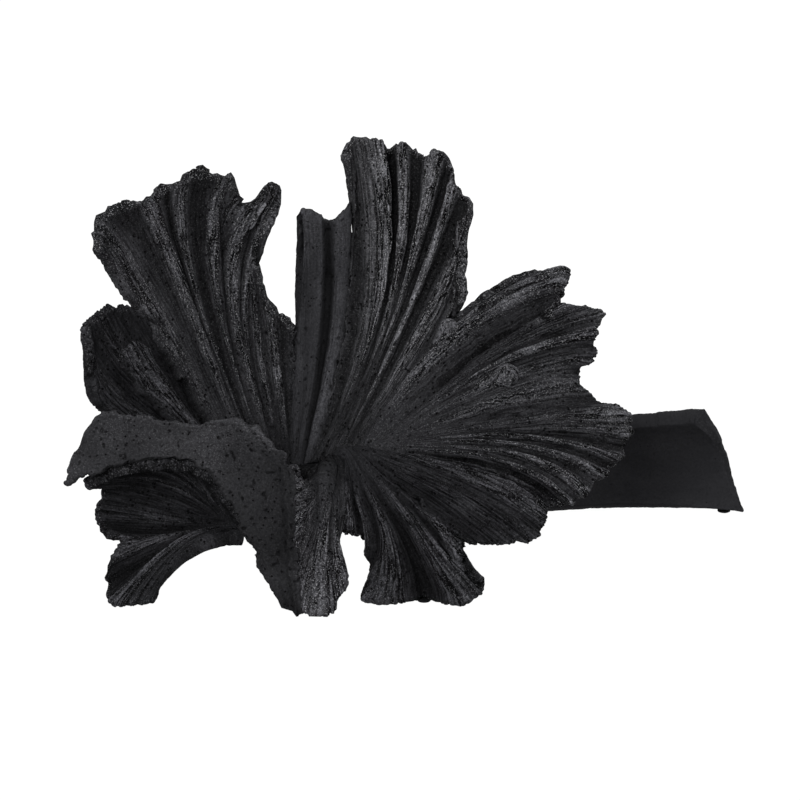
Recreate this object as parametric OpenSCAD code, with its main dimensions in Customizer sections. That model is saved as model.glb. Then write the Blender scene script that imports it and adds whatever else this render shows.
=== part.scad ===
// Cast stone fan coral sculpture, built from bonded sections.
// X runs left to right, Y front to back, Z up. Millimetres.
// Each section is a pleated sheet. Its rows of points run from the root in the bowl
// to the broken rim, and each row runs clockwise round the bowl as seen from the front.

/* [Sheet] */
// Thickness of a fan at its root
root_thick = 15; // [12:0.5:18]
// Thickness of a fan at its rim
rim_thick = 9; // [7:0.5:11]
// How far a full crest stands above the middle of a sheet, on a deep fan
deep_pleat = 7; // [4:0.5:9]
// The same on a shallow fan
fine_pleat = 3.5; // [2:0.5:5]
// How far the rim drops back at a fold, as a share of the sheet's length
rim_notch = 0.008; // [0:0.002:0.02]

/* [Mass in the middle] */
// Radius of the rounded mass under the bowl
core_r = 21; // [18:1:23]

/* [Stem] */
// Thickness of the smooth stem
stem_thick = 15; // [12:1:18]

/* [Feet] */
// Radius of a felt pad
pad_r = 5; // [4:0.5:8]
// Thickness of a felt pad
pad_h = 1.5; // [1:0.5:3]

/* [Hidden] */

stone = "#3c3c3f";
felt = "#1d1d1f";
rib_steps = 4;      // columns of points from one rim point to the next
rest_round = 1.5;   // how softly a sheet flattens where it meets the pads
pleat_slope = 0.5;  // the most that a pleat rises, as a share of the distance between two rim points

// Where the middle of the whole form lies before it is centred
form_centre = [6.5, -16, 0];

// Rows of points, root first.
rear_left_rows = [
    [[-127, -26, 70], [-112, -16, 64], [-98, -10, 62], [-84, -8, 64]],
    [[-190, 8, 170], [-175, 30, 188], [-161, 48, 186], [-147, 58, 180], [-134, 62, 172],
     [-116, 60, 150], [-86, 50, 114]],
    [[-227, 0, 237], [-225, 12, 259], [-208, 30, 264], [-191, 46, 265], [-175, 58, 268],
     [-160, 66, 272], [-145, 72, 273], [-130, 74, 274], [-124, 68, 246], [-108, 84, 260],
     [-94, 84, 254], [-116, 74, 216], [-104, 74, 172], [-82, 66, 150]]
];
left_back_rows = [
    [[-138, -36, 78], [-126, -28, 70]],
    [[-216, -44, 118], [-204, -20, 138], [-182, -2, 136], [-162, 8, 127]],
    [[-232, -48, 161], [-237, -34, 189], [-222, -20, 197], [-206, -6, 192], [-182, 10, 179]]
];
left_inner_rows = [
    [[-146, -42, 92], [-136, -38, 86]],
    [[-190, -42, 136], [-178, -34, 136], [-168, -30, 126]],
    [[-212, -46, 168], [-201, -38, 178], [-190, -30, 160]]
];
rear_centre_rows = [
    [[-84, -8, 64], [-72, -8, 66]],
    [[-84, 52, 126], [-66, 58, 140], [-45, 58, 146]],
    [[-78, 74, 231], [-77, 76, 245], [-64, 74, 241], [-55, 76, 235], [-42, 78, 248]]
];
rear_tall_rows = [
    [[-72, -8, 66], [-52, -12, 72], [-32, -16, 80]],
    [[-45, 58, 158], [-20, 62, 170], [-9, 62, 172], [0, 60, 170], [18, 54, 158], [21, 44, 134]],
    [[-42, 78, 284], [-40, 82, 297], [-25, 84, 299], [-13, 86, 292], [0, 86, 295], [9, 84, 286],
     [31, 82, 286], [38, 78, 266], [51, 72, 246], [46, 68, 220], [42, 65, 198], [41, 60, 174]]
];
right_upper_rows = [
    [[-34, -16, 80], [-28, -20, 82]],
    [[20, 44, 134], [29, 50, 147], [41, 42, 152], [50, 12, 150]],
    [[38, 60, 165], [61, 62, 176], [83, 60, 190], [103, 58, 199], [120, 46, 204],
     [120, 32, 194], [109, 20, 183]]
];
right_shoulder_rows = [
    [[-28, -20, 82], [-32, -24, 80]],
    [[-8, -18, 95], [-16, -30, 91]],
    [[50, 10, 146], [66, 2, 148], [75, -10, 141], [74, -26, 125]],
    [[110, 18, 182], [126, 16, 188], [149, 10, 184], [142, 5, 170], [144, 0, 156],
     [133, -5, 146], [130, -11, 131]]
];
right_broad_rows = [
    [[-32, -24, 80], [-36, -28, 78]],
    [[-16, -30, 91], [-22, -40, 89]],
    [[74, -26, 125], [86, -48, 111], [76, -66, 102], [58, -77, 91]],
    [[130, -11, 128], [148, -20, 120], [165, -30, 116], [166, -45, 105], [158, -60, 92],
     [146, -72, 85], [132, -85, 76], [121, -92, 70], [107, -96, 71]]
];
right_lower_rows = [
    [[-36, -28, 78], [-42, -30, 77]],
    [[-22, -40, 89], [-32, -46, 87]],
    [[58, -77, 91], [42, -90, 77], [16, -93, 66]],
    [[106, -98, 72], [104, -105, 61], [96, -112, 50], [73, -116, 46], [48, -116, 47]]
];
front_centre_rows = [
    [[-42, -30, 77], [-50, -32, 77]],
    [[-32, -46, 87], [-46, -50, 86]],
    [[16, -92, 66], [12, -100, 54], [-6, -102, 50], [-22, -94, 52], [-44, -76, 62]],
    [[47, -114, 46], [40, -119, 33], [56, -119, 17], [36, -111, 2], [15, -109, 1], [-7, -107, 1],
     [-26, -105, 5], [-25, -98, 24], [-30, -92, 41], [-46, -84, 47]]
];
front_leg_rows = [
    [[-48, -44, 85], [-62, -44, 82]],
    [[-47, -76, 62], [-58, -96, 62], [-67, -100, 70], [-74, -86, 84]],
    [[-55, -86, 46], [-54, -106, 33], [-48, -122, 18], [-56, -134, 1], [-74, -134, 2],
     [-78, -117, 43], [-80, -97, 75], [-82, -78, 95]]
];
band_rows = [
    [[-89, -131, 2], [-76, -134, 1]],
    [[-108, -112, 34], [-79, -116, 40]],
    [[-124, -102, 60], [-80, -98, 76]],
    [[-138, -94, 86], [-86, -80, 98]],
    [[-152, -90, 100], [-104, -74, 116]],
    [[-168, -90, 105], [-124, -74, 130]],
    [[-186, -92, 106], [-152, -76, 125]],
    [[-206, -95, 104], [-188, -78, 132]],
    [[-224, -97, 98], [-222, -78, 136]],
    [[-238, -98, 93], [-240, -88, 114]],
    [[-246, -98, 90], [-248, -96, 96]]
];
left_shoulder_rows = [
    [[-130, -62, 40], [-122, -66, 46]],
    [[-186, -66, 68], [-170, -60, 84], [-150, -64, 82], [-128, -80, 66]],
    [[-234, -90, 86], [-221, -92, 93], [-203, -93, 99], [-184, -90, 101], [-166, -88, 100],
     [-150, -88, 95], [-132, -92, 78], [-120, -98, 60]]
];
lower_left_rows = [
    [[-120, -82, 40], [-130, -62, 40]],
    [[-158, -98, 36], [-174, -86, 33], [-182, -72, 44], [-184, -66, 66]],
    [[-186, -117, 4], [-214, -116, 2], [-221, -102, 19], [-212, -90, 40],
     [-227, -84, 52], [-228, -78, 66], [-219, -74, 80]]
];
stem_rows = [
    [[0, 24, 68], [0, 26, 50], [0, 14, 34]],
    [[52, 60, 72], [52, 66, 52], [52, 62, 32], [52, 46, 12]],
    [[112, 88, 68], [112, 92, 48], [112, 86, 26], [112, 66, 4]],
    [[172, 96, 66], [172, 100, 46], [172, 94, 24], [172, 75, 3]],
    [[212, 98, 69], [216, 102, 48], [222, 94, 26], [230, 73, 1]],
    [[226, 96, 70], [242, 98, 50], [250, 90, 28], [260, 71, -2]]
];
back_foot_rows = [
    [[-64, 10, 58], [-96, 6, 52]],
    [[-70, 52, 46], [-90, 58, 44], [-112, 44, 40]],
    [[-66, 84, 4], [-78, 94, 1], [-94, 96, 1], [-108, 88, 2], [-116, 76, 6]]
];

// How high each sheet stands at equal steps across it: 1 on a full crest, -1 in a full fold
rear_left_relief = [-0.2, 0, -0.1, 0, 0.4, 0.9, 0.9, -0.3, 0.3, 0.2, -0.8, -1, -0.3, 1, 0.8, 0.1, -1, 0.8, 0.8,
    0, 0.4, -0.4, 0.1, -0.5, 0.4, -0.6, 0.3];
left_back_relief = [0.1, 0.5, 0.3, 0.5, -0.2, -0.8, -1, -0.8, -0.5];
left_inner_relief = [-0.8, 0.6, 0.8, 0.2, -0.5];
rear_centre_relief = [0.3, 0.4, 0.2, 0.1, 0, -0.8, 0.4, 0.5, 0.1];
rear_tall_relief = [0.1, -0.5, 0.1, 0.4, 0.7, 0.9, -1, 0.5, 0.7, 0.1, -0.9, 0.9, 0.3, -0.8, 0.8, -0.8, 0.3, 0.9,
    0.6, 0, 0.2, -0.6, 0.3];
right_upper_relief = [0.2, 0, -0.2, -0.3, -0.4, -0.4, 0.1, -0.3, 0.5, 1, 0.5, -0.3, -0.6];
right_shoulder_relief = [-0.6, -0.5, -0.2, 0, 0.1, -0.2, 0.5, 0, 0.3, 0.4, 0, 0.1, 0.8];
right_broad_relief = [0.8, 0.3, 0.1, 0.2, 0.3, 0.1, 0.1, -0.6, 0.5, -0.5, 0.5, -0.3, 0.6, -0.3, 0.5, -0.9, 0.2];
right_lower_relief = [-0.7, 0.5, 0.8, 0.4, 0.3, 0, -0.5, -0.9, -0.5];
front_centre_relief = [-0.6, 0, -0.4, -0.5, 0.5, 0.6, 0.5, -0.3, -1, -0.3, 0.8, 0.8, 0.3, -0.4, -0.3, 0.3, -0.6,
    0.3, -0.2];
front_leg_relief = [0, 0.2, -0.1, 0.2, 0.4, -0.3, 0.7, 0.7, 0.4, -0.4, -0.2, 0.2, 0, 0.1, 0];
left_shoulder_relief = [0.2, -0.2, 0.4, -0.3, 0.4, -0.4, 0.5, -0.4, 0.5, -0.3, 0.3, -0.4, 0.4, 0, 0];
lower_left_relief = [-0.2, 0.4, 0.9, -0.4, 0.1, 0.8, 0.4, -0.5, 0, 0.3, 0.2, -0.2, -0.5];
back_foot_relief = [0.5, -0.5, 0.5, -0.5, 0.5, -0.5, 0.5, -0.5, 0.5];
flat = [0, 0, 0];

// Points that the felt pads sit under
pad_points = [[-202, -114], [-66, -130], [14, -108], [246, 75], [-88, 93]];

// ---- curve and sheet functions ----

function before(p) = len(p) > 2 ? 3 * p[0] - 3 * p[1] + p[2] : 2 * p[0] - p[1];
function after(p) = let (n = len(p) - 1) len(p) > 2 ? 3 * p[n] - 3 * p[n - 1] + p[n - 2] : 2 * p[n] - p[n - 1];

// The point at t from 0 to 1 along a smooth curve through a row of points
function along(p, t) =
    let (
        n = len(p) - 1,
        s = t * n,
        i = min(floor(s), n - 1),
        f = s - i,
        a = i > 0 ? p[i - 1] : before(p),
        b = p[i],
        c = p[i + 1],
        d = i + 2 <= n ? p[i + 2] : after(p)
    )
    0.5 * (2 * b + (c - a) * f + (2 * a - 5 * b + 4 * c - d) * f * f + (3 * b - a - 3 * c + d) * f * f * f);

function surface_point(rows, u, v) = along([for (r = rows) along(r, v)], u);
function unit(v) = v / max(norm(v), 0.000001);

// A sheet flattens softly where it would reach under the pads' tops
function rested(p) =
    let (rise = (p.z - pad_h) / rest_round)
    rise > 20 ? p : [p.x, p.y, pad_h + rest_round * ln(1 + exp(rise))];

// A point on the sheet, offset from its middle towards the side that it faces. The pleats
// flatten where the rows crowd together.
function sheet_point(rows, u, v, relief, pleat, offset) =
    let (
        e = 0.02,
        crest = along(relief, v),
        w = u * (1 - rim_notch * u * (1 - crest)),
        left = max(v - e, 0),
        right = min(v + e, 1),
        across = surface_point(rows, w, right) - surface_point(rows, w, left),
        up = surface_point(rows, min(w + e, 1), v) - surface_point(rows, max(w - e, 0), v),
        pitch = norm(across) / (right - left) / (len(rows[len(rows) - 1]) - 1),
        height = crest * min(pleat, pleat_slope * pitch)
    )
    rested(surface_point(rows, w, v) + unit(cross(across, up)) * (height + offset) - form_centre);

// A closed pleated sheet: rings of points round it from root to rim, one pole at the root,
// and one line of points along the middle of the rim.
module sheet(rows, relief, pleat = fine_pleat, thick = [root_thick, rim_thick], steps = 10,
             columns = rib_steps) {
    n = (len(rows[len(rows) - 1]) - 1) * columns;
    ring = 2 * (n + 1);
    rim_grow = 2;
    rings = [for (k = [0:steps]) let (u = k / steps, half = (thick[0] + (thick[1] - thick[0]) * u) / 2) each [
        for (i = [0:n]) sheet_point(rows, u, i / n, relief, pleat, half),
        for (i = [n:-1:0]) sheet_point(rows, u, i / n, relief, pleat, -half)
    ]];
    first = 1 + steps * ring;
    crest = first + ring;
    rim_line = [for (i = [0:n])
        let (f = rings[steps * ring + i], b = rings[steps * ring + ring - 1 - i],
            f0 = rings[(steps - 1) * ring + i], b0 = rings[(steps - 1) * ring + ring - 1 - i])
        rested((f + b) / 2 + unit(f + b - f0 - b0) * rim_grow)];
    pole = [for (i = [0:ring - 1]) 1] * [for (i = [0:ring - 1]) rings[i]] / ring;
    function at(k, i) = 1 + k * ring + i % ring;
    function mid(j) = crest + (j <= n ? j : 2 * n + 1 - j);
    polyhedron(
        points = concat([pole], rings, rim_line),
        faces = concat(
            [for (i = [0:ring - 1]) [0, at(0, i), at(0, i + 1)]],
            [for (k = [0:steps - 1], i = [0:ring - 1]) each [
                [at(k, i), at(k + 1, i + 1), at(k, i + 1)],
                [at(k, i), at(k + 1, i), at(k + 1, i + 1)]
            ]],
            [for (j = [0:ring - 1]) if (j != n && j != ring - 1) each [
                [at(steps, j), mid(j + 1), at(steps, j + 1)],
                [at(steps, j), mid(j), mid(j + 1)]
            ]],
            [[at(steps, n), mid(n), at(steps, n + 1)], [at(steps, ring - 1), mid(0), at(steps, 0)]]
        )
    );
}

// ---- sections ----

module rear_left_fan() { color(stone) sheet(rear_left_rows, rear_left_relief, deep_pleat, steps = 12); }
module left_back_fan() { color(stone) sheet(left_back_rows, left_back_relief, fine_pleat + 1); }
module left_inner_fold() { color(stone) sheet(left_inner_rows, left_inner_relief, fine_pleat, [9, 6], 6); }
module rear_centre_fan() { color(stone) sheet(rear_centre_rows, rear_centre_relief); }
module rear_tall_fan() { color(stone) sheet(rear_tall_rows, rear_tall_relief, deep_pleat - 2, steps = 12); }
module right_upper_lobe() { color(stone) sheet(right_upper_rows, right_upper_relief, deep_pleat - 1); }
module right_shoulder_lobe() { color(stone) sheet(right_shoulder_rows, right_shoulder_relief); }
module right_broad_lobe() { color(stone) sheet(right_broad_rows, right_broad_relief, steps = 9); }
module right_lower_lobe() { color(stone) sheet(right_lower_rows, right_lower_relief, fine_pleat + 1); }
module front_centre_lobe() {
    color(stone) sheet(front_centre_rows, front_centre_relief, fine_pleat + 1, steps = 9);
}
module front_leg_lobe() { color(stone) sheet(front_leg_rows, front_leg_relief, fine_pleat - 1); }
module front_shoulder_band() { color(stone) sheet(band_rows, flat, 0, [12, 12], 20, 5); }
module left_shoulder_lobe() {
    color(stone) sheet(left_shoulder_rows, left_shoulder_relief, fine_pleat, [12, 8], columns = 3);
}
module lower_left_lobe() { color(stone) sheet(lower_left_rows, lower_left_relief, fine_pleat + 1, [12, 9]); }
module rear_stem() { color(stone) sheet(stem_rows, flat, 0, [stem_thick, stem_thick], 14, 3); }
module back_foot() { color(stone) sheet(back_foot_rows, back_foot_relief, fine_pleat, [14, 12], 8); }

module blob(p, r) { translate(p - form_centre) sphere(r, $fn = 20); }

// The section roots are set in this mass, which is cast round them
module throat_core() {
    spine = [[-112, -28, 52], [-92, -26, 50], [-72, -26, 50], [-52, -28, 54], [-34, -30, 60], [-14, -26, 64],
        [2, -8, 60], [10, 14, 56]];
    radii = [16, core_r, core_r, core_r, core_r, 20, 18, 15];
    color(stone) {
        for (i = [0:len(spine) - 2]) hull() {
            blob(spine[i], radii[i]);
            blob(spine[i + 1], radii[i + 1]);
        }
        hull() {
            blob([-80, 4, 52], 14);
            blob([-76, -20, 50], 16);
        }
        hull() {
            blob([-126, -58, 46], 8);
            blob([-106, -34, 52], 14);
        }
        hull() {
            blob([-86, -56, 76], 10);
            blob([-40, -40, 74], 12);
        }
    }
}

module growth_knobs() {
    color(stone) {
        hull() {
            blob([58, -14, 134], 6);
            blob([76, -16, 144], 9);
        }
        hull() {
            blob([26, 34, 152], 5);
            blob([33, 36, 163], 7);
        }
    }
}

module foot_pads() {
    color(felt) for (p = pad_points)
        translate([p.x - form_centre.x, p.y - form_centre.y, 0]) cylinder(pad_h, r = pad_r, $fn = 48);
}

throat_core();
rear_left_fan();
left_back_fan();
left_inner_fold();
rear_centre_fan();
rear_tall_fan();
right_upper_lobe();
right_shoulder_lobe();
right_broad_lobe();
right_lower_lobe();
front_centre_lobe();
front_leg_lobe();
front_shoulder_band();
left_shoulder_lobe();
lower_left_lobe();
rear_stem();
back_foot();
growth_knobs();
foot_pads();
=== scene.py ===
"""Looks of the cast stone fan coral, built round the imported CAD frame.

Every fan is rebuilt as a fine mesh on the CAD sheet's own rows of points, with the strands,
grooves, cracks, pits and broken rim of the cast stone as real geometry. Metres throughout.
"""
import math

import bpy
import numpy as np
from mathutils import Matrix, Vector


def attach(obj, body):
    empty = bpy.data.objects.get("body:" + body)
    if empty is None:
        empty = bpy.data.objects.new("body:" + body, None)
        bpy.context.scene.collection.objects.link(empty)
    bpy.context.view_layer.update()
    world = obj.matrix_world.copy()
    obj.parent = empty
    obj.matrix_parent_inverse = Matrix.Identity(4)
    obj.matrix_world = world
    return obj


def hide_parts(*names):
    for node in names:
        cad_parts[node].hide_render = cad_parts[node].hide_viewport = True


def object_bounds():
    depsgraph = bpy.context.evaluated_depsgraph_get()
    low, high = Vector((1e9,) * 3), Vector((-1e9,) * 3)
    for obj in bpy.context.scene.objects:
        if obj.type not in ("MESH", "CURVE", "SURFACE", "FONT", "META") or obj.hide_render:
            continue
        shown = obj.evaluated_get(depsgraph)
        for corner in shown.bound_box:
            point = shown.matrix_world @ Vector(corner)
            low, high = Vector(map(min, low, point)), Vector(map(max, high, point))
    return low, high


MM = 0.001

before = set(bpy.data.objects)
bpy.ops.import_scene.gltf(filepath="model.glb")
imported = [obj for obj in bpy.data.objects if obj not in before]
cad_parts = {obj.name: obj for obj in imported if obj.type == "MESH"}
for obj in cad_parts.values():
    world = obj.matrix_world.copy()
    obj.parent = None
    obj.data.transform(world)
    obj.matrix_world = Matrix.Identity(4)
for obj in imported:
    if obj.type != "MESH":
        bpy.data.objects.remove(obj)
cad_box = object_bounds()

# ---- view ----

CAMERA_DISTANCE = 4.0
CAMERA_ELEVATION = math.radians(20)
CAMERA_LENS = 240       # millimetres, as the sensor's width is
SENSOR_WIDTH = 36
AIM_FROM_CENTRE = Vector((-10.2, 13.9, 0)) * MM
AIM_HEIGHT = 119.2 * MM

lowest, highest = Vector(cad_box[0]), Vector(cad_box[1])
centre = (lowest + highest) / 2
aim = Vector((centre.x + AIM_FROM_CENTRE.x, centre.y + AIM_FROM_CENTRE.y, AIM_HEIGHT))
view_direction = Vector((0, math.cos(CAMERA_ELEVATION), -math.sin(CAMERA_ELEVATION)))

# ---- noise ----


def corner_value(x, y, z, seed):
    """A fixed pseudo-random number from -1 to 1 for each whole-number corner."""
    h = (x * 73856093) ^ (y * 19349663) ^ (z * 83492791) ^ (seed * 2654435761)
    h = (h ^ (h >> 13)) * 1274126177 & 0xFFFFFFFF
    h = (h ^ (h >> 15)) * 2246822519 & 0xFFFFFFFF
    return ((h ^ (h >> 16)) & 0xFFFF) / 32767.5 - 1


def noise(x, y, z, seed):
    """Smooth noise from -1 to 1, with lumps about one unit across.

    Where only two directions matter, a whole number as z picks one of many unlike layers.
    """
    x, y, z = np.broadcast_arrays(x, y, z)
    base = [np.floor(c).astype(np.int64) for c in (x, y, z)]
    fx, fy, fz = [c - b for c, b in zip((x, y, z), base)]
    fx, fy, fz = [f * f * (3 - 2 * f) for f in (fx, fy, fz)]
    total = 0
    for i in (0, 1):
        for j in (0, 1):
            for k in (0, 1):
                weight = (fx if i else 1 - fx) * (fy if j else 1 - fy) * (fz if k else 1 - fz)
                total = total + weight * corner_value(base[0] + i, base[1] + j, base[2] + k, seed)
    return total


def turned(round_x, round_y):
    """The matrix of a turn round y followed by a turn round x."""
    cx, sx, cy, sy = math.cos(round_x), math.sin(round_x), math.cos(round_y), math.sin(round_y)
    return np.array([[1, 0, 0], [0, cx, -sx], [0, sx, cx]]) @ np.array([[cy, 0, sy], [0, 1, 0], [-sy, 0, cy]])


TURN = turned(0.6, 0.9)     # the lattice of the noise is turned, so that it lines up with nothing


def noise_at(points, size, seed):
    """Noise in space, with lumps about size metres across."""
    p = points @ TURN / size
    return noise(p[:, 0], p[:, 1], p[:, 2], seed)


def ease(low, high, x):
    """0 at low, 1 at high, constant beyond both, and smooth between them. Low may be the larger."""
    t = np.clip((x - low) / (high - low), 0, 1)
    return t * t * (3 - 2 * t)


# ---- reading a CAD sheet ----

JOIN_DISTANCE = 2e-6    # points closer than this are one point


def welded(node):
    """The node's points and triangles, with the points that share a place joined."""
    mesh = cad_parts[node].data
    mesh.calc_loop_triangles()
    points = np.empty(len(mesh.vertices) * 3)
    mesh.vertices.foreach_get("co", points)
    faces = np.empty(len(mesh.loop_triangles) * 3, np.int32)
    mesh.loop_triangles.foreach_get("vertices", faces)
    points, faces = points.reshape(-1, 3), faces.reshape(-1, 3)
    key = np.round(points / JOIN_DISTANCE).astype(np.int64)
    _, kept, number = np.unique(key, axis=0, return_index=True, return_inverse=True)
    faces = number.reshape(-1)[faces]
    whole = (faces[:, 0] != faces[:, 1]) & (faces[:, 1] != faces[:, 2]) & (faces[:, 2] != faces[:, 0])
    return points[kept], faces[whole]


def sheet_rings(faces):
    """The rings of point numbers round a sheet from its root pole to its rim, and the rim's middle line."""
    across = {}
    for a, b, c in faces.tolist():
        across[(a, b)], across[(b, c)], across[(c, a)] = c, a, b
    pole = int(np.bincount(faces.reshape(-1)).argmax())
    following = {b: a for (a, b), c in across.items() if c == pole}
    ring = [next(iter(following))]
    while following[ring[-1]] != ring[0]:
        ring.append(following[ring[-1]])
    rings = [ring]
    while True:
        ring = rings[-1]
        beyond = [across[(ring[i - 1], ring[i])] for i in range(len(ring))]
        if len(set(beyond)) < len(ring):
            return rings, beyond
        rings.append(beyond)


def sheet_sides(node):
    """The sheet's front and back as grids of points, root row first, and its rim line.

    The front is the side that faces the camera more.
    """
    points, faces = welded(node)
    rings, beyond = sheet_rings(faces)
    size = len(beyond)
    half = size // 2
    seam = next(i for i in range(size) if beyond[i] == beyond[i - 1])
    grid = points[np.array(rings)]
    grid = np.roll(grid, -seam, axis=1)
    rim = np.roll(points[np.array(beyond)], -seam, axis=0)
    sides = [(grid[:, :half], rim[:half]), (grid[:, half:][:, ::-1], rim[half:][::-1])]
    outward = (sides[0][0] - sides[1][0]).reshape(-1, 3).mean(0)
    if outward @ np.array(view_direction) > 0:
        sides.reverse()
    return sides[0][0], sides[1][0], sides[0][1]


def spline_weights(count, places):
    """Weights that carry count samples to places from 0 to count - 1 along a smooth curve."""
    i = np.clip(np.floor(places).astype(int), 0, count - 2)
    f = places - i
    basis = [-f + 2 * f**2 - f**3, 2 - 5 * f**2 + 3 * f**3, f + 4 * f**2 - 3 * f**3, f**3 - f**2]
    weights = np.zeros((len(places), count + 2))
    row = np.arange(len(places))
    for k in range(4):
        weights[row, i + k] += 0.5 * basis[k]
    # the points beyond both ends continue the curve in a straight line
    weights[:, 1] += 2 * weights[:, 0]
    weights[:, 2] -= weights[:, 0]
    weights[:, -2] += 2 * weights[:, -1]
    weights[:, -3] -= weights[:, -1]
    return weights[:, 1:-1]


def lengths_along(row):
    """The distance along a row of points, from 0 at its first."""
    return np.concatenate([[0], np.cumsum(np.linalg.norm(np.diff(row, axis=0), axis=1))])


def even_places(row, count):
    """Places that share a row of points into count even steps."""
    distance = lengths_along(row)
    return np.interp(np.linspace(0, distance[-1], count), distance, np.arange(len(row)))


def blurred(grid, width):
    """The grid smoothed across its columns, over about width columns each way."""
    reach = min(max(1, int(width * 2)), grid.shape[1] - 2)
    shape = np.exp(-0.5 * (np.arange(-reach, reach + 1) / width) ** 2)
    shape /= shape.sum()
    before = 2 * grid[:, :1] - grid[:, reach:0:-1]
    after = 2 * grid[:, -1:] - grid[:, -2:-reach - 2:-1]
    padded = np.concatenate([before, grid, after], 1)
    out = np.zeros_like(grid)
    for k, w in enumerate(shape):
        out += w * padded[:, k:k + grid.shape[1]]
    return out


# ---- meshes ----


def unit(vectors):
    """The vectors, each scaled to a length of one."""
    return vectors / np.linalg.norm(vectors, axis=-1)[..., None]


def vertex_normals(points, faces):
    """The unit normal at each point, from the triangles round it."""
    normal = np.cross(points[faces[:, 1]] - points[faces[:, 0]], points[faces[:, 2]] - points[faces[:, 0]])
    total = np.zeros_like(points)
    for k in range(3):
        for axis in range(3):
            total[:, axis] += np.bincount(faces[:, k], normal[:, axis], len(points))
    return total / np.maximum(np.linalg.norm(total, axis=1), 1e-15)[:, None]


def add_piece(name, points, faces, material, node, values=None):
    """A new smooth-shaded piece that rides on the root body and stands for the CAD node.

    Values are named numbers or vectors, one for each point, that the material reads.
    """
    mesh = bpy.data.meshes.new(name)
    mesh.vertices.add(len(points))
    mesh.vertices.foreach_set("co", points.astype(np.float32).ravel())
    mesh.loops.add(faces.size)
    mesh.loops.foreach_set("vertex_index", faces.astype(np.int32).ravel())
    mesh.polygons.add(len(faces))
    mesh.polygons.foreach_set("loop_start", np.arange(0, faces.size, 3, dtype=np.int32))
    mesh.update(calc_edges=True)
    mesh.validate()
    mesh.shade_smooth()
    for key, value in (values or {}).items():
        kind, field = ("FLOAT_VECTOR", "vector") if value.ndim == 2 else ("FLOAT", "value")
        attribute = mesh.attributes.new(key, kind, "POINT")
        attribute.data.foreach_set(field, value.astype(np.float32).ravel())
    mesh.materials.append(material)
    piece = bpy.data.objects.new(name, mesh)
    bpy.context.scene.collection.objects.link(piece)
    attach(piece, "root")
    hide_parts(node)


# ---- carving ----

WANDER = 2.0 * MM           # how far a strand strays to either side
WANDER_FINE = 0.6 * MM
CRACK_HALF_WIDTH = 0.6 * MM
BROKEN_DEPTH = 6 * MM       # how far the rough stone reaches in from a broken rim
RIB_HEIGHT = 2.2 * MM
CREST_LIMIT = 5 * MM        # pleats are deepened in proportion up to this height
TREAD_BELOW = (11 * MM, 4 * MM)     # a foot starts to swell at the first height, and is full at the second
BAND_LUMPS = 26 * MM        # the size of the front shoulder band's dents
BAND_DENT = 2.5 * MM


def strand(across, pitch, wander):
    """How near a place is to a groove between strands, 0 to 1 in the groove, and the groove's number."""
    q = (across + wander) / pitch
    groove = np.round(q)
    return 1 - 2 * np.abs(q - groove), groove


def strands(look, place, room, on_crest, seed):
    """The marks that run from root to rim: bundle seams, grooves and their lines, and open cracks."""
    across, side, far = place["across"], place["across"] / MM, place["along"] / MM
    wander = WANDER * noise(side / 16, far / 60, 0, seed) + WANDER_FINE * noise(side / 5, far / 28, 3, seed)

    t, number = strand(across, look["bundle"], wander)
    come = ease(-0.5, 0.4, noise(number * 5.3, far / 60, 7, seed))
    seam = t**3 * come * room * on_crest

    t, number = strand(across, look["groove"], wander * 1.1)
    come = ease(-0.6, 0.2, noise(number * 5.7, far / 26, 11, seed))
    own_height = noise(number * 3.1 + 0.5, far / 38, 13, seed)
    fine = -(t**2.5) * come + 0.4 * own_height
    groove_shade_line = t**5 * come

    t, number = strand(across, look["crack"], wander * 0.9)
    gap = (1 - t) * look["crack"] / 2 * np.maximum(place["ratio"], 0.15)
    come = ease(0.0, 0.35, noise(number * 3.7, far / 24, 17, seed)) * ease(-0.3, 0.8, place["crest"] / MM)
    crack = np.exp(-((gap / CRACK_HALF_WIDTH) ** 2)) * come * ease(0.2, 0.5, place["ratio"])
    return seam, fine, groove_shade_line, crack


def band_relief(look, place, points, seed):
    """The ridge, the hollow beside it and the broad dents of the front shoulder band."""
    v, u = place["v"], place["u"]
    low_part = 1 - ease(0.35, 0.6, u)
    ridge = np.exp(-(((v - 0.88) / 0.1) ** 2)) - 0.7 * np.exp(-(((v - 0.45) / 0.22) ** 2))
    dents = noise_at(points, BAND_LUMPS, seed + 9)
    return look["ridge"] * ridge * low_part * place["front"], BAND_DENT * dents * place["front"]


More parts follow.
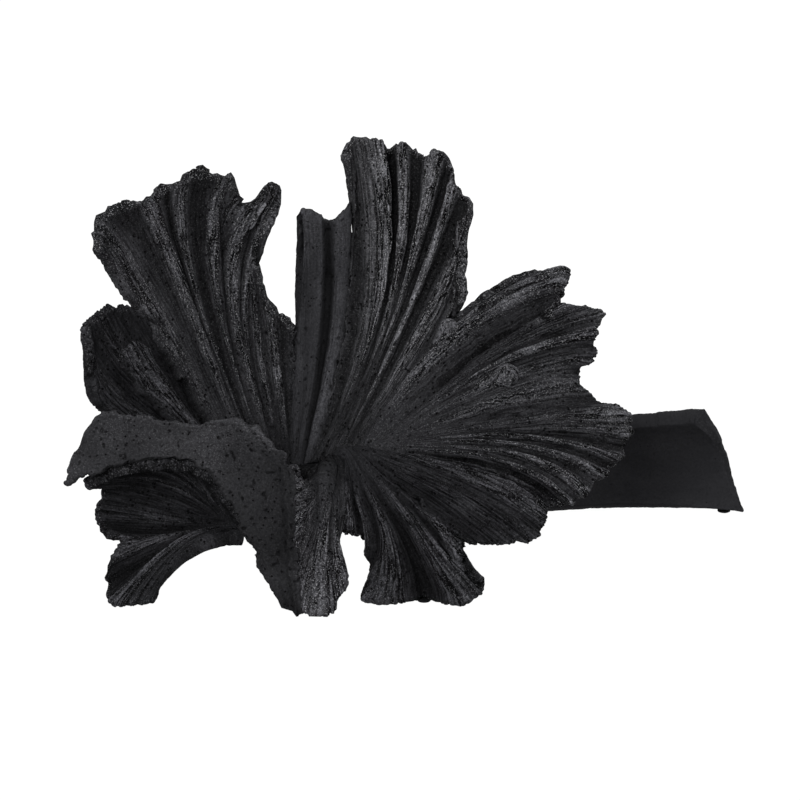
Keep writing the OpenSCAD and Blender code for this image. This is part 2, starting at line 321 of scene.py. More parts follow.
def carve(look, place, points, seed):
    """How far each point of a fan moves along its normal, how dark it is painted there as shade in its
    grooves, cracks, seams and pits, and how fibrous.
    """
    ratio, crest, front = place["ratio"], place["crest"], place["front"]
    room = ease(0.12, 0.75, ratio)
    strength = front + (1 - front) * look["back"]
    on_crest = look["valley"] + (1 - look["valley"]) * ease(-1.6, 0.6, crest / MM)

    seam, fine, groove_shade_line, crack = strands(look, place, room, on_crest, seed)
    height = -look["bundle_depth"] * seam
    height = height + look["groove_depth"] * fine * room * on_crest
    height = height - look["crack_depth"] * crack
    height = height * strength

    lumps = 0.55 * noise_at(points, 15 * MM, seed + 1) + 0.3 * noise_at(points, 5.5 * MM, seed + 2)
    grain = 0.2 * noise_at(points, 2.1 * MM, seed + 3)
    pits = np.maximum(noise_at(points, 2.6 * MM, seed + 4) - look["pits"], 0) * 3.0
    near_rim = np.exp(-((place["edge"] / BROKEN_DEPTH) ** 2))
    rough = 0.8 * noise_at(points, 3.4 * MM, seed + 5) + 0.6 * noise_at(points, 1.6 * MM, seed + 6)
    height = height + (look["lumps"] * lumps + grain - pits + near_rim * rough * look["ragged"]) * MM

    height = height + look["tread"] * ease(*TREAD_BELOW, points[:, 2])
    if look["ridge"]:
        ridge, dents = band_relief(look, place, points, seed)
        height = height + ridge + dents
    height = height + RIB_HEIGHT * place["ribs"] * room * front
    height = height + look["deepen"] * np.clip(crest, -CREST_LIMIT, CREST_LIMIT) * room * front

    # painted shade: the groove lines, cracks, bundle seams and pits are painted darker
    shade_in_hollows = 0.9 * groove_shade_line * look["groove_depth"] / MM * room * on_crest + crack * look["crack_depth"] / (2 * MM)
    shade_in_hollows = shade_in_hollows + 0.3 * seam * look["bundle_depth"] / MM
    grooved = look["fibre"] * ease(0.05, 0.4, ratio) * (0.25 + 0.75 * on_crest)
    return height, np.clip(shade_in_hollows * strength + pits, 0, 1), grooved


def broken_line(look, distance, layer, seed):
    """How far a broken edge stands in or out along its length, in lumps, crumbs and steps."""
    lumps = (1.5 * noise(distance / (9 * MM), layer, 0, seed + 20)
             + 0.9 * noise(distance / (3.4 * MM), layer, 5, seed + 21)
             + 0.5 * noise(distance / (1.4 * MM), layer, 9, seed + 22))
    steps = ease(0.35, 0.5, noise(distance / (7 * MM), layer, 13, seed + 23))
    return look["ragged"] * MM * lumps - look["ragged"] * 2.2 * MM * steps


# ---- one fan ----

RIM_ROWS = 5        # rows of points that round the rim over
RIM_TURNS = np.linspace(0, math.radians(80), RIM_ROWS + 1)[1:]      # how far round each of them lies
RIM_PROUD = 2.5 * MM        # how far the rounding stands beyond the last row
SIDE_POINTS = 5     # points that round each side edge over
SIDE_RADIUS = 1.6 * MM
SIDE_FRONT = 0.7    # how much a side edge counts as front
START_EDGE = (0, 3)         # a side edge's column, and the one that it stands out from
END_EDGE = (-1, -4)
WIDE_ROW = -3       # the CAD's row whose length the columns share out evenly
PLEAT_REACH = 10 * MM       # a crest is what stands out of the sheet blurred over this
RIM_CHIPS = 10 * MM         # how far in from the rim the chips move the stone
SIDE_CHIPS = 8 * MM
FOOT_EVEN = (2 * MM, 16 * MM)       # an edge is even below the first height, and broken above the second
STRETCH = 0.09      # how much longer than wide the fibres of the stone are, as a share
FLOOR_GAP = 0.8 * MM        # the stone stays above the floor, on its pads
PAINTED_SHADING_STOPS = [0, 0.25, 0.45, 1]     # how far along a fan each of its four painted shades stands
FULL_PLEAT = 2.8 * MM       # a crest this high is painted palest, partly dry-brushed wear and partly painted highlight
# how far in from the rim the worn grains that also stand for painted glints reach
RIM_GLINT_REACH = 2.5 * MM


def past_rim(rows):
    """The rows, with the last one repeated for each row that rounds the rim over."""
    return np.concatenate([rows, np.repeat(rows[-1:], RIM_ROWS, 0)])


def ring_round(front, back, axis=0):
    """Values for a whole ring from those along the front and the back. A side edge takes its corner's."""
    end = np.repeat(np.take(front, [-1], axis), SIDE_POINTS, axis)
    start = np.repeat(np.take(front, [0], axis), SIDE_POINTS, axis)
    return np.concatenate([front, end, np.flip(back, axis), start], axis)


def rim_strip(row, columns, back_columns):
    """Closes the last gap between the front and the back along the rim."""
    front = row[:columns]
    end = row[columns:columns + SIDE_POINTS]
    back = row[columns + SIDE_POINTS:columns + SIDE_POINTS + back_columns][::-1]
    start = row[columns + SIDE_POINTS + back_columns:]
    faces = []
    i = j = 0
    while i < len(front) - 1 or j < len(back) - 1:
        if j == len(back) - 1 or (i < len(front) - 1 and i * (len(back) - 1) <= j * (len(front) - 1)):
            faces.append((front[i], front[i + 1], back[j]))
            i += 1
        else:
            faces.append((front[i], back[j + 1], back[j]))
            j += 1
    last = list(end) + [back[-1]]
    faces += [(front[-1], last[k], last[k + 1]) for k in range(len(last) - 1)]
    first = list(start) + [front[0]]
    faces += [(back[0], first[k], first[k + 1]) for k in range(len(first) - 1)]
    return np.array(faces)


class Sheet:
    """One CAD sheet as a fine grid of points. Its rows run from the root to past the rim.

    Each row is a ring: along the front, round the end edge, back along the back, round the start edge.
    """

    def __init__(self, node, look):
        self.look = look
        front, back, rim = sheet_sides(node)
        cad_rows, self.cad_columns = front.shape[:2]
        middle = (front[:, self.cad_columns // 2] + back[:, self.cad_columns // 2]) / 2
        self.row_weights = spline_weights(cad_rows, even_places(middle, look["rows"]))
        wide = (front[WIDE_ROW] + back[WIDE_ROW]) / 2
        self.front_places = even_places(wide, look["columns"])
        self.back_places = even_places(wide, look["back_columns"])
        rows = self.closed_rows(front, back, rim, self.front_places, 1)
        front_rows, self.mid, self.half, self.reach = rows
        back_rows = self.closed_rows(front, back, rim, self.back_places, -1)[0][:, ::-1]
        end, start = self.side_rows(END_EDGE), self.side_rows(START_EDGE)[:, ::-1]
        self.grid = np.concatenate([front_rows, end, back_rows, start], 1)
        self.measure(front, wide)
        self.crest = self.crests(front_rows[:look["rows"]])

    def spread(self, grid, places):
        """The CAD's grid at this sheet's rows and the given places across."""
        return np.einsum("ri,ijk,cj->rck", self.row_weights, grid, spline_weights(self.cad_columns, places))

    def closed_rows(self, front, back, rim, places, sign):
        """One side's rows with those that round the rim over, then the middle, half thickness and reach."""
        f, b = self.spread(front, places), self.spread(back, places)
        mid, half = (f + b) / 2, (f - b) / 2 * sign
        reach = spline_weights(self.cad_columns, places) @ rim - mid[-1]
        caps = [mid[-1] + reach * math.sin(turn) + half[-1] * math.cos(turn) for turn in RIM_TURNS]
        return np.concatenate([mid + half, np.array(caps)]), mid, half, reach

    def outward(self, edge):
        """The direction in which a side edge looks, at each row."""
        column, inner = edge
        return past_rim(unit(self.mid[:, column] - self.mid[:, inner]))

    def side_rows(self, edge):
        """The points that round over one side edge, from its front to its back."""
        column = edge[0]
        beyond = self.mid[-1:, column] + self.reach[column] * np.sin(RIM_TURNS[:, None])
        middle = np.concatenate([self.mid[:, column], beyond])[:, None]
        half = past_rim(self.half[:, column])[:, None]
        shrink = np.cos(np.concatenate([np.zeros(self.look["rows"]), RIM_TURNS]))[:, None, None]
        angles = np.linspace(0, math.pi, SIDE_POINTS + 2)[1:-1]
        out = self.outward(edge)[:, None] * SIDE_RADIUS
        return middle + shrink * (half * np.cos(angles)[None, :, None] + out * np.sin(angles)[None, :, None])

    def measure(self, front, wide):
        """How far each column lies across the rim, and each row along from the root, and how wide it is."""
        front_across = lengths_along(spline_weights(self.cad_columns, self.front_places) @ wide)
        self.width = front_across[-1]
        self.across = ring_round(front_across, np.interp(self.back_places, self.front_places, front_across))
        length = lengths_along(self.spread(front, self.front_places)[:, self.look["columns"] // 2])
        self.along = np.concatenate([length, length[-1] + RIM_PROUD * np.sin(RIM_TURNS)])
        row_width = np.array([lengths_along(row)[-1] for row in self.mid[:, ::6]])
        self.ratio = past_rim(row_width) / row_width.max()

    def crests(self, rows):
        """How high each point stands on its pleat, above the sheet's blurred middle."""
        smooth = blurred(rows, self.look["columns"] * PLEAT_REACH / self.width)
        crest = past_rim(np.einsum("rck,rck->rc", rows - smooth, unit(self.half)))
        back = -np.stack([np.interp(self.back_places, self.front_places, row) for row in crest])
        return ring_round(crest, back, 1)

    def break_edges(self, seed):
        """Moves the rim and the side edges in and out, in chips and steps that run from front to back."""
        look, raised = self.look, ease(*FOOT_EVEN, self.grid[:, :, 2])
        nearest = np.searchsorted(self.front_places, self.back_places).clip(0, len(self.reach) - 1)
        forward = unit(ring_round(self.reach, self.reach[nearest]))
        near = ease(0, 1, 1 - (self.along[-1] - self.along) / RIM_CHIPS)[:, None]
        push = near * broken_line(look, self.across, 0, seed)[None, :]
        self.grid = self.grid + (push * raised)[:, :, None] * forward[None]
        for edge, distance, layer in ((END_EDGE, self.width - self.across, 3), (START_EDGE, self.across, 6)):
            near = ease(0, 1, 1 - distance[None] * self.ratio[:, None] / SIDE_CHIPS)
            near = near * ease(0.15, 0.5, self.ratio)[:, None] * look["sides"]
            push = near * raised * broken_line(look, self.along, layer, seed)[:, None]
            self.grid = self.grid + push[:, :, None] * self.outward(edge)[:, None]

    def mesh(self):
        """The points and triangles of the closed surface. The last point is the middle of the root."""
        rows, ring = self.grid.shape[:2]
        number = np.arange(rows * ring).reshape(rows, ring)
        a, b = number[:-1], np.roll(number, -1, 1)[:-1]
        c, d = np.roll(number, -1, 1)[1:], number[1:]
        cap = np.stack([np.roll(number[0], -1), number[0], np.full(ring, number.size)], 1)
        strip = rim_strip(number[-1], self.look["columns"], self.look["back_columns"])
        faces = [np.stack([a, b, c], -1).reshape(-1, 3), np.stack([a, c, d], -1).reshape(-1, 3), cap, strip]
        points = np.concatenate([self.grid.reshape(-1, 3), self.grid[0].mean(0)[None]])
        return points, np.concatenate(faces)

    def place(self):
        """What the carving needs to know about each point of the mesh."""
        look = self.look
        front = np.zeros(self.grid.shape[1])
        front[:look["columns"]] = 1
        front[look["columns"]:look["columns"] + SIDE_POINTS] = SIDE_FRONT
        front[-SIDE_POINTS:] = SIDE_FRONT

        def each_point(values):
            out = np.broadcast_to(values, self.grid.shape[:2]).reshape(-1)
            return np.concatenate([out, out[:1]])

        place = {"across": each_point(self.across[None]), "along": each_point(self.along[:, None]),
                 "edge": each_point((self.along[-1] - self.along)[:, None]), "crest": each_point(self.crest),
                 "ratio": each_point(self.ratio[:, None]), "front": each_point(front[None])}
        place["v"] = place["across"] / self.width
        place["u"] = place["along"] / self.along[-1]
        place["ribs"] = np.interp(place["v"], *zip(*look["ribs"]))
        return place


def build_sheet(name, node, look, seed):
    """Rebuilds one CAD sheet as a fine closed mesh and carves it."""
    sheet = Sheet(node, look)
    sheet.break_edges(seed)
    points, faces = sheet.mesh()
    place = sheet.place()
    normals = vertex_normals(points, faces)
    if (points * normals).sum() - (points.mean(0) * normals).sum() < 0:
        faces, normals = faces[:, ::-1], -normals
    height, shade_in_hollows, grooved = carve(look, place, points, seed)
    points = points + normals * height[:, None]
    points[:, 2] = np.maximum(points[:, 2], FLOOR_GAP)

    # painted shade: each fan is painted darker towards its root, and some a little paler towards the rim
    painted_shading = np.interp(place["u"], PAINTED_SHADING_STOPS, look["painted_shading"])
    if look["ridge"]:
        # painted highlight along the band's right ridge, and painted light and shade that follow its dents
        painted_shading = painted_shading + 0.3 * ease(0.88, 1, place["v"]) + 0.4 * noise_at(points, BAND_LUMPS, seed + 9)
    # painted highlight on crests and ribs and painted shade in the folds, partly dry-brushed wear on the
    # crests
    crest_light_and_shade = place["crest"] / FULL_PLEAT * ease(0.1, 0.45, place["ratio"])
    crest_light_and_shade = crest_light_and_shade + 0.6 * place["ribs"] * ease(0.15, 0.5, place["ratio"])
    fibres = [place["across"] / MM, place["along"] / MM * STRETCH, np.full(len(points), seed)]
    values = {"crest": np.clip(crest_light_and_shade + painted_shading, -1, 1), "shade_in_hollows": shade_in_hollows, "grooved": grooved,
              "rim": np.exp(-((place["edge"] / RIM_GLINT_REACH) ** 2)), "strands": np.stack(fibres, 1)}
    add_piece(name, points, faces, look["material"], node, values)


# ---- materials ----

NOISE, VORONOI = "ShaderNodeTexNoise", "ShaderNodeTexVoronoi"
SHADE_BLACK = (0.001, 0.001, 0.0011)    # painted shade: the near-black painted deep in grooves, cracks and pits
MATTE_SPECULAR = 0.03
STONE_ROUGHNESS = 0.9
STONE_RELIEF = 0.7 * MM     # how deep the bump's grain and fibres look


class Material:
    """A new material's node tree, with short ways to add the few kinds of node used here.

    Each argument that a node works on is a socket or a fixed value.
    """

    def __init__(self, name):
        self.data = bpy.data.materials.new(name)
        self.data.use_nodes = True
        self.shader = self.data.node_tree.nodes["Principled BSDF"]
        self.place = self.add("ShaderNodeTexCoord").outputs["Object"]

    def add(self, kind, **settings):
        """A new node with these settings."""
        node = self.data.node_tree.nodes.new(kind)
        for key, value in settings.items():
            setattr(node, key, value)
        return node

    def feed(self, socket, value):
        """Links a socket, or sets it to a number or colour."""
        if isinstance(value, bpy.types.NodeSocket):
            self.data.node_tree.links.new(value, socket)
        else:
            socket.default_value = (*value, 1) if isinstance(value, tuple) else value

    def attribute(self, name, output="Fac"):
        """A named value of the mesh."""
        return self.add("ShaderNodeAttribute", attribute_name=name).outputs[output]

    def texture(self, kind, scale, place=None, output="Fac", **inputs):
        """A noise or Voronoi texture in space or at the given places, scale in lumps per unit."""
        node = self.add(kind)
        self.feed(node.inputs["Vector"], self.place if place is None else place)
        node.inputs["Scale"].default_value = scale
        for key, value in inputs.items():
            node.inputs[key].default_value = value
        return node.outputs[output]

    def ramp(self, source, *stops):
        """A colour ramp whose stops are (position, grey level or colour)."""
        node = self.add("ShaderNodeValToRGB")
        elements = node.color_ramp.elements
        while len(elements) < len(stops):
            elements.new(0.5)
        for element, (position, value) in zip(elements, stops):
            element.position = position
            element.color = (*value, 1) if isinstance(value, tuple) else (value, value, value, 1)
        self.feed(node.inputs["Fac"], source)
        return node.outputs["Color"]

    def mix(self, how, share, first, second):
        """Mixes two colours."""
        node = self.add("ShaderNodeMix", data_type="RGBA", blend_type=how)
        self.feed(node.inputs[0], share)
        self.feed(node.inputs[6], first)
        self.feed(node.inputs[7], second)
        return node.outputs[2]

    def calculate(self, how, *values):
        """Works on two or three numbers."""
        node = self.add("ShaderNodeMath", operation=how)
        for socket, value in zip(node.inputs, values):
            self.feed(socket, value)
        return node.outputs[0]

    def finish(self, colour, roughness, height, strength, distance):
        """Sets the shader: its colour, its roughness, and a bump from the height."""
        self.feed(self.shader.inputs["Base Color"], colour)
        self.shader.inputs["Roughness"].default_value = roughness
        self.shader.inputs["Specular IOR Level"].default_value = MATTE_SPECULAR
        relief = self.add("ShaderNodeBump")
        relief.inputs["Strength"].default_value = strength
        relief.inputs["Distance"].default_value = distance
        self.feed(relief.inputs["Height"], height)
        self.feed(self.shader.inputs["Normal"], relief.outputs["Normal"])
        return self.data


def stone_material(name, dark, light, salt_glint, salt_share, pit_scale, pit_reach, coarse, bump):
    """Matte charcoal cast stone: mottled and fibrous, with painted shade in grooves and pits, and pale grains
    on crests and rims that are partly worn and partly painted glints.

    Dark and light bound the body's colour, and the third colour is the grains', worn grains that also stand
    for painted glints. The pits are pit_scale to the metre, and pit_reach wide as a share of their spacing.
    Coarse is the strength of the mottle.
    """
    m = Material(name)
    broad = m.texture(NOISE, 26, Detail=5.0, Roughness=0.6)
    grain = m.texture(NOISE, 620, Detail=3.0, Roughness=0.7)
    grit = m.texture(NOISE, 1100, Detail=1.0, Roughness=0.5)
    pores = m.texture(VORONOI, pit_scale, output="Distance")
    choose = m.texture(NOISE, 120, Detail=1.0)
    crest, shade_in_hollows, rim, grooved = [m.attribute(key) for key in ("crest", "shade_in_hollows", "rim", "grooved")]
    strand_places = m.attribute("strands", "Vector")
    fibres = m.texture(NOISE, 0.45, strand_places, Detail=3.0, Roughness=0.6)
    splits = m.texture(NOISE, 0.24, strand_places, Detail=2.0, Roughness=0.5)

    # the stone's own mottle, then painted highlight on the crests and painted shade between them, partly the
    # dry-brushed paint of the crests
    body = m.ramp(broad, (0.3, dark), (0.7, light))
    speckle = m.ramp(crest, (0.0, 0.5 * coarse), (0.6, 0.9 * coarse))
    colour = m.mix("MULTIPLY", speckle, body, m.ramp(grain, (0.36, 0.2), (0.64, 1.85)))
    raised = m.calculate("MULTIPLY_ADD", crest, 0.5, 0.5)
    colour = m.mix("MULTIPLY", 1.0, colour, m.ramp(raised, (0.1, 0.24), (0.5, 0.95), (0.9, 2.4)))
    colour = m.mix("MULTIPLY", grooved, colour, m.ramp(fibres, (0.38, 0.32), (0.62, 1.5)))

    # painted shade: dark lines in the grooves and along the splits between fibres
    split = m.ramp(splits, (0.515, 0.0), (0.54, 1.0), (0.58, 1.0), (0.605, 0.0))
    split = m.calculate("MULTIPLY", split, grooved)
    split = m.calculate("MULTIPLY", split, m.ramp(crest, (0.0, 0.2), (0.35, 1.0)))
    colour = m.mix("MIX", m.calculate("MAXIMUM", m.calculate("MULTIPLY", shade_in_hollows, 0.8), split), colour, SHADE_BLACK)

    # pale grains where the stone is worn, which also stand for painted glints on the rims and crests, then
    # painted shade in the pits
    proud = m.calculate("MAXIMUM", rim, m.calculate("ADD", crest, 0.1))
    grains = m.ramp(grit, (0.60, 0.0), (0.68, 1.0))
    worn_and_glinting = m.calculate("MULTIPLY", grains, m.ramp(proud, (0.0, 0.12), (0.7, 1.0)))
    colour = m.mix("MIX", m.calculate("MULTIPLY", worn_and_glinting, salt_share), colour, salt_glint)
    pit = m.ramp(pores, (0.45 * pit_reach, 1.0), (pit_reach, 0.0))
    pit = m.calculate("MULTIPLY", pit, m.ramp(choose, (0.48, 0.0), (0.56, 1.0)))
    colour = m.mix("MIX", pit, colour, SHADE_BLACK)

    surface = m.calculate("ADD", grain, m.calculate("MULTIPLY", grit, 0.5))
    surface = m.calculate("MULTIPLY", surface, speckle)
    surface = m.calculate("SUBTRACT", surface, m.calculate("MULTIPLY", pit, 1.6))
    fibrous = m.calculate("SUBTRACT", m.calculate("MULTIPLY", fibres, 2.2), split)
    surface = m.calculate("ADD", surface, m.calculate("MULTIPLY", fibrous, grooved))
    return m.finish(colour, STONE_ROUGHNESS, surface, bump, STONE_RELIEF)


def felt_material():
    """Pressed black felt: short tangled fibres."""
    m = Material("pressed_felt")
    fibres = m.texture(NOISE, 2600, Detail=4.0, Roughness=0.8, Distortion=2.5)
    colour = m.ramp(fibres, (0.3, (0.002, 0.002, 0.0022)), (0.75, (0.006, 0.006, 0.0065)))
    return m.finish(colour, 1.0, fibres, 0.6, 0.2 * MM)


CAST = stone_material("cast_stone", (0.0092, 0.0092, 0.0102), (0.0165, 0.0165, 0.018),
                      (0.26, 0.26, 0.27), 0.4, pit_scale=270, pit_reach=0.3, coarse=1.0, bump=1.0)
# painted light: a paler copy of the cast stone, for the fan that catches more light
LIT_PAINTED_STONE = stone_material("lit_painted_cast_stone", (0.0145, 0.0145, 0.0157), (0.0245, 0.0245, 0.0265),
                      (0.3, 0.3, 0.31), 0.45, pit_scale=270, pit_reach=0.3, coarse=1.0, bump=1.0)
# painted shade: a darker copy of the cast stone, for the fans that lie in more shade
SHADE_PAINTED_STONE = stone_material("shade_painted_cast_stone", (0.006, 0.006, 0.0067), (0.0105, 0.0105, 0.0116),
                      (0.14, 0.14, 0.147), 0.3, pit_scale=270, pit_reach=0.3, coarse=1.0, bump=1.0)
QUIET = stone_material("quiet_cast_stone", (0.0085, 0.0085, 0.0095), (0.013, 0.013, 0.0143),
                       (0.08, 0.08, 0.084), 0.3, pit_scale=300, pit_reach=0.22, coarse=0.6, bump=0.8)
CUT = stone_material("cut_stone", (0.008, 0.008, 0.0088), (0.0145, 0.0145, 0.0157),
                     (0.14, 0.14, 0.147), 0.4, pit_scale=230, pit_reach=0.2, coarse=0.85, bump=1.2)
SMOOTH = stone_material("smooth_stone", (0.009, 0.009, 0.0101), (0.013, 0.013, 0.0142),
                        (0.04, 0.04, 0.0425), 0.3, pit_scale=300, pit_reach=0.14, coarse=0.4, bump=0.5)

# ---- the fans ----

FAN = {
    # points along, across the front and across the back
    "rows": 150, "columns": 330, "back_columns": 70,
    # pitch and depth of the marks that run from root to rim
    "bundle": 8 * MM, "bundle_depth": 1.2 * MM, "groove": 2.9 * MM, "groove_depth": 1.1 * MM,
    "crack": 4.3 * MM, "crack_depth": 2.0 * MM,
    # shares of those marks that the folds and the back show, and of fibres in the colour
    "valley": 0.25, "back": 0.7, "fibre": 1.0,
    # lumps in millimetres, the level above which the noise makes pits, and how broken the rim and sides are
    "lumps": 1.0, "pits": 0.55, "ragged": 1.0, "sides": 1,
    # how much the pleats grow, more ribs (also painted paler on their crests), the painted shade that darkens
    # the stone towards the root and lightens it towards the rim, how far a foot swells, and the height of the
    # front shoulder band's ridge
    "deepen": 0.5, "ribs": [(0, 0), (1, 0)], "painted_shading": [0, 0, 0, 0], "tread": 0, "ridge": 0,
    "material": CAST, "slot": "cast_stone",
}
# stone without the marks
PLAIN = {**FAN, "bundle_depth": 0.0, "groove_depth": 0.0, "crack_depth": 0.0,
         "valley": 1.0, "ragged": 0.5, "fibre": 0.05}

# ridges and folds beyond the CAD's: how far across a fan each stands, and how high, from -1 to 1
LEFT_RIBS = [(0, 0), (0.07, 0.5), (0.14, -0.9), (0.18, 0.7), (0.2, -0.6), (0.23, 1), (0.26, -0.6),
             (0.3, 0.9), (0.34, 0.3), (0.37, -1), (0.4, -0.8), (0.44, 1), (0.48, -1), (0.51, 0.7),
             (0.56, 0.6), (0.6, -0.6), (0.64, 0.2), (1, 0)]
UPPER_RIBS = [(0, 0), (0.55, -0.4), (0.75, 1), (0.9, 0.2), (1, -0.4)]
SHOULDER_RIBS = [(0, -0.3), (0.3, -0.3), (0.5, 0.5), (0.65, -0.3), (0.93, 1), (1, 0.6)]
BROAD_RIBS = [(0, 1), (0.08, 0.6), (0.15, 0), (1, 0)]

SHEETS = {
    "rear_left_fan": {**FAN, "rows": 180, "columns": 420, "back_columns": 90, "bundle": 11 * MM,
                      "bundle_depth": 1.0 * MM, "valley": 0.35, "deepen": 0.8, "painted_shading": [-0.5, -0.2, 0, 0.1],
                      "ribs": LEFT_RIBS},
    "left_back_fan": {**FAN, "columns": 260, "groove_depth": 0.8 * MM, "material": SHADE_PAINTED_STONE},
    "left_inner_fold": {**FAN, "columns": 110, "back_columns": 50, "rows": 100, "groove_depth": 0.8 * MM,
                        "material": SHADE_PAINTED_STONE},
    "rear_centre_fan": {**FAN, "rows": 170, "columns": 110, "back_columns": 60, "groove_depth": 0.3 * MM,
                        "crack_depth": 0.3 * MM, "ragged": 0.7, "fibre": 0.25, "material": QUIET},
    "rear_tall_fan": {**FAN, "rows": 200, "columns": 380, "back_columns": 90, "material": LIT_PAINTED_STONE,
                      "painted_shading": [-0.5, -0.2, 0, 0.1]},
    "right_upper_lobe": {**FAN, "groove_depth": 0.8 * MM, "bundle": 13 * MM, "bundle_depth": 3.0 * MM,
                         "valley": 0.6, "deepen": 1.0, "ribs": UPPER_RIBS},
    "right_shoulder_lobe": {**FAN, "groove_depth": 1.0 * MM, "bundle": 15 * MM, "bundle_depth": 3.0 * MM,
                            "valley": 0.7, "deepen": 1.0, "ribs": SHOULDER_RIBS},
    "right_broad_lobe": {**FAN, "rows": 170, "columns": 440, "back_columns": 80, "valley": 0.8,
                         "groove": 3.2 * MM, "groove_depth": 1.4 * MM, "bundle": 12 * MM,
                         "bundle_depth": 2.2 * MM, "deepen": 0.8, "ribs": BROAD_RIBS},
    "right_lower_lobe": {**FAN, "valley": 0.7, "bundle_depth": 1.8 * MM, "material": SHADE_PAINTED_STONE},
    "front_centre_lobe": {**FAN, "columns": 440, "back_columns": 90, "valley": 0.8, "bundle_depth": 1.8 * MM,
                          "tread": 3 * MM, "material": SHADE_PAINTED_STONE},
    "front_leg_lobe": {**FAN, "valley": 0.8, "groove": 3.0 * MM, "painted_shading": [-0.8, -0.3, 0, 0.3]},
    "front_shoulder_band": {**PLAIN, "rows": 400, "columns": 120, "back_columns": 60, "material": CUT,
                            "slot": "cut_stone", "pits": 0.45, "lumps": 2.0, "ragged": 1.0,
                            "painted_shading": [-0.6, -0.4, 0, 0], "ridge": 5 * MM},
    "left_shoulder_lobe": {**FAN, "sides": 0, "valley": 0.6, "groove_depth": 0.8 * MM, "rows": 100,
                           "material": SHADE_PAINTED_STONE},
    "lower_left_lobe": {**FAN, "sides": 0, "rows": 120, "columns": 240, "valley": 0.5,
                        "bundle_depth": 1.8 * MM, "tread": 2 * MM, "material": SHADE_PAINTED_STONE},
    "rear_stem": {**PLAIN, "rows": 260, "columns": 110, "back_columns": 80, "material": SMOOTH,
                  "slot": "smooth_stone", "pits": 0.75, "lumps": 0.6, "ragged": 0.25},
    "back_foot": {**FAN, "rows": 90, "columns": 150, "back_columns": 90},
}
FIRST_SEED, SEED_STEP = 100, 40     # each fan's noises take their own run of seeds

for order, (sheet_name, sheet_look) in enumerate(SHEETS.items()):
    build_sheet(sheet_name + "_stone", sheet_name, sheet_look, FIRST_SEED + SEED_STEP * order)

# ---- the core and the knobs ----

BOWL = np.array([-60, -10, 70]) * MM    # where the fans spread from
LUMP_ROUGH = 0.9
FIBRES_ROUND = 60       # how the core's fibres are spaced round the bowl, per radian


def remeshed(node, voxel, rounds):
    """The node's solids as one even mesh, softened over so many rounds."""
    mesh = bpy.data.meshes.new("work")
    points, faces = welded(node)
    mesh.from_pydata(points.tolist(), [], faces.tolist())
    work = bpy.data.objects.new("work", mesh)
    bpy.context.scene.collection.objects.link(work)
    step = work.modifiers.new("even", "REMESH")
    step.mode = "VOXEL"
    step.voxel_size = voxel
    soft = work.modifiers.new("soft", "SMOOTH")
    soft.factor = 0.5
    soft.iterations = rounds
    even = bpy.data.meshes.new_from_object(work.evaluated_get(bpy.context.evaluated_depsgraph_get()))
    bpy.data.objects.remove(work)
    even.calc_loop_triangles()
    out = np.empty(len(even.vertices) * 3)
    even.vertices.foreach_get("co", out)
    triangles = np.empty(len(even.loop_triangles) * 3, np.int32)
    even.loop_triangles.foreach_get("vertices", triangles)
    return out.reshape(-1, 3), triangles.reshape(-1, 3)


def build_lump(node, voxel, rounds, crest, seed):
    """A rounded cast mass in place of the node: even mesh, lumps, grain and pits."""
    points, faces = remeshed(node, voxel, rounds)
    normals = vertex_normals(points, faces)
    lumps = noise_at(points, 12 * MM, seed) * 0.9 + noise_at(points, 4 * MM, seed + 1) * 0.5
    pits = np.maximum(noise_at(points, 2.6 * MM, seed + 2) - 0.5, 0) * 2.5
    grain = noise_at(points, 1.8 * MM, seed + 3) * 0.2
    points = points + normals * ((lumps * LUMP_ROUGH + grain - pits * LUMP_ROUGH) * MM)[:, None]
    out = points - BOWL
    turn = np.arctan2(out[:, 1], out[:, 0])
    count = len(points)
    fibres = [turn * FIBRES_ROUND, np.linalg.norm(out, axis=1) / MM * STRETCH, np.full(count, seed)]
    values = {"crest": np.full(count, crest), "shade_in_hollows": np.clip(pits, 0, 1), "rim": np.zeros(count),
              "grooved": np.full(count, 0.9), "strands": np.stack(fibres, 1)}
    add_piece(node + "_stone", points, faces, CAST, node, values)


# painted shade on the throat deep in the bowl, and painted highlight on the knobs, through their crest values
build_lump("throat_core", voxel=1.6 * MM, rounds=6, crest=-0.8, seed=900)
build_lump("growth_knobs", voxel=0.7 * MM, rounds=3, crest=0.9, seed=930)

# ---- the pads ----

PAD_APART = 20 * MM     # points closer than this belong to one pad
PAD_SPOKES = 96
PAD_ROLL = 0.35         # the rolled edge's radius, as a share of the pad's height


def pad_groups():
    """The points of the CAD's pads, shared out pad by pad."""
    groups = []
    for p in welded("foot_pads")[0]:
        near = next((g for g in groups if np.linalg.norm(g[0][:2] - p[:2]) < PAD_APART), None)
        if near is None:
            groups.append([p])
        else:
            near.append(p)
    return groups


def pad_profile(radius, tall):
    """A pad's outline as (radius, height), from near its hub below, round its edge, to its hub above."""
    roll = tall * PAD_ROLL
    angles = np.linspace(0, math.pi / 2, 6)
    lower = [(radius - roll + roll * math.sin(a), roll - roll * math.cos(a)) for a in angles]
    upper = [(r, tall - z) for r, z in reversed(lower)]
    inner = [(radius * s, 0.0) for s in (0.25, 0.5, 0.75)]
    return inner + lower + upper + [(r, tall) for r, _ in reversed(inner)]


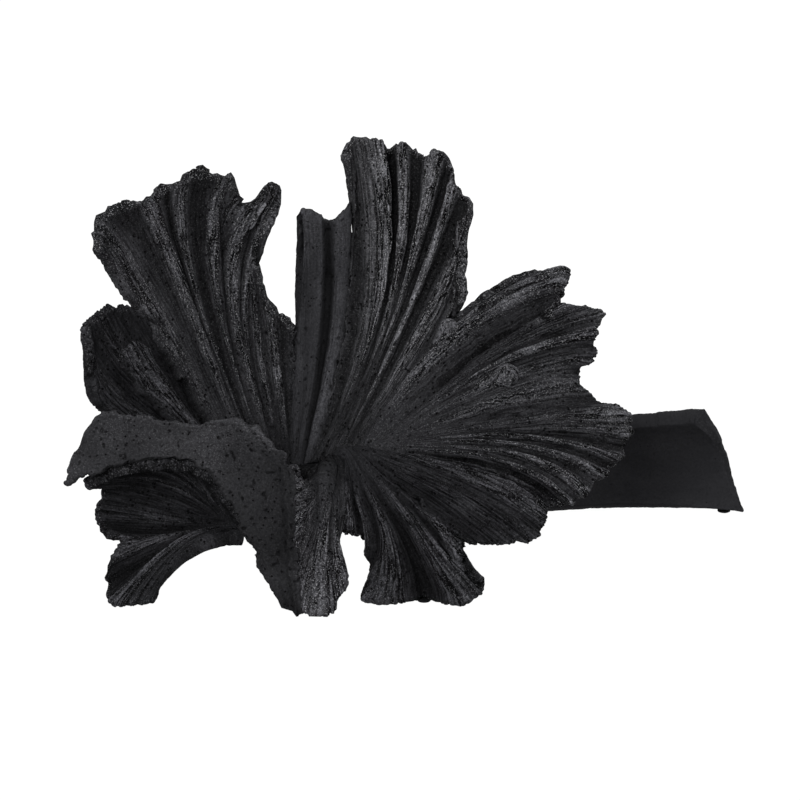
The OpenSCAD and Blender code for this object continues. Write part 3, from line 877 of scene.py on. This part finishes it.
def build_pads():
    """Pressed felt discs with softly rolled edges, one in the place of each of the CAD's pads."""
    points, faces = [], []
    for group in pad_groups():
        low, high = np.min(group, 0), np.max(group, 0)
        middle = (low + high) / 2
        profile = pad_profile((high[0] - low[0]) / 2, high[2] - low[2])
        base = len(points)
        for r, z in profile:
            for k in range(PAD_SPOKES):
                turn = 2 * math.pi * k / PAD_SPOKES
                wobble = 1 + 0.012 * math.sin(5 * turn + base) + 0.008 * math.sin(11 * turn)
                points.append((middle[0] + r * wobble * math.cos(turn),
                               middle[1] + r * wobble * math.sin(turn), low[2] + z))
        for i in range(len(profile) - 1):
            for k in range(PAD_SPOKES):
                a, b = base + i * PAD_SPOKES + k, base + i * PAD_SPOKES + (k + 1) % PAD_SPOKES
                faces += [(a, b + PAD_SPOKES, a + PAD_SPOKES), (a, b, b + PAD_SPOKES)]
        for ring_start, flip in ((base, True), (base + (len(profile) - 1) * PAD_SPOKES, False)):
            hub = len(points)
            points.append(tuple(np.mean(points[ring_start:ring_start + PAD_SPOKES], 0)))
            for k in range(PAD_SPOKES):
                a, b = ring_start + k, ring_start + (k + 1) % PAD_SPOKES
                faces.append((b, a, hub) if flip else (a, b, hub))
    add_piece("felt_pads", np.array(points), np.array(faces), felt_material(), "foot_pads")


build_pads()

# ---- stage, light and camera ----

FLOOR_REACH = 12.0
WORLD_LIGHT = 0.25
LIGHT_TARGET = (0, 0, 0.12)


def add_floor():
    """A plain white floor that gives off its own even light, so that it shows no shadow."""
    mesh = bpy.data.meshes.new("floor")
    corners = [(x * FLOOR_REACH, y * FLOOR_REACH, 0) for x, y in ((-1, -1), (1, -1), (1, 1), (-1, 1))]
    mesh.from_pydata(corners, [], [(0, 1, 2, 3)])
    floor = bpy.data.objects.new("floor", mesh)
    bpy.context.scene.collection.objects.link(floor)
    white = bpy.data.materials.new("white_floor")
    white.use_nodes = True
    shader = white.node_tree.nodes["Principled BSDF"]
    shader.inputs["Base Color"].default_value = (0, 0, 0, 1)
    shader.inputs["Emission Color"].default_value = (1, 1, 1, 1)
    shader.inputs["Emission Strength"].default_value = 1.0
    shader.inputs["Roughness"].default_value = 1.0
    mesh.materials.append(white)


def add_world():
    """An even white light from all round."""
    world = bpy.data.worlds.new("studio")
    bpy.context.scene.world = world
    world.use_nodes = True
    world.node_tree.nodes["Background"].inputs["Color"].default_value = (1, 1, 1, 1)
    world.node_tree.nodes["Background"].inputs["Strength"].default_value = WORLD_LIGHT


def add_light(name, size, energy, place):
    """A soft rectangular lamp that looks at the object's middle."""
    light = bpy.data.lights.new(name, "AREA")
    light.shape = "RECTANGLE"
    light.size, light.size_y = size
    light.energy = energy
    lamp = bpy.data.objects.new(name, light)
    bpy.context.scene.collection.objects.link(lamp)
    lamp.location = place
    lamp.rotation_euler = (Vector(LIGHT_TARGET) - Vector(place)).to_track_quat("-Z", "Y").to_euler()


def add_camera():
    """The camera, a little above the object and straight in front of it."""
    data = bpy.data.cameras.new("camera")
    data.lens = CAMERA_LENS
    data.sensor_width = SENSOR_WIDTH
    data.clip_end = 50
    camera = bpy.data.objects.new("camera", data)
    bpy.context.scene.collection.objects.link(camera)
    camera.location = aim - view_direction * CAMERA_DISTANCE
    camera.rotation_euler = (math.pi / 2 - CAMERA_ELEVATION, 0, 0)
    bpy.context.scene.camera = camera


add_floor()
add_world()
add_light("front_key", (1.0, 0.8), 84, (-0.7, -2.2, 1.4))
add_light("top_right", (0.8, 0.8), 60, (1.0, -0.9, 2.2))
add_light("behind", (1.2, 0.8), 60, (0.4, 2.3, 1.7))
add_light("left_side", (0.8, 1.0), 20, (-1.8, -1.7, 0.8))
bpy.context.scene.view_settings.view_transform = "Standard"
add_camera()
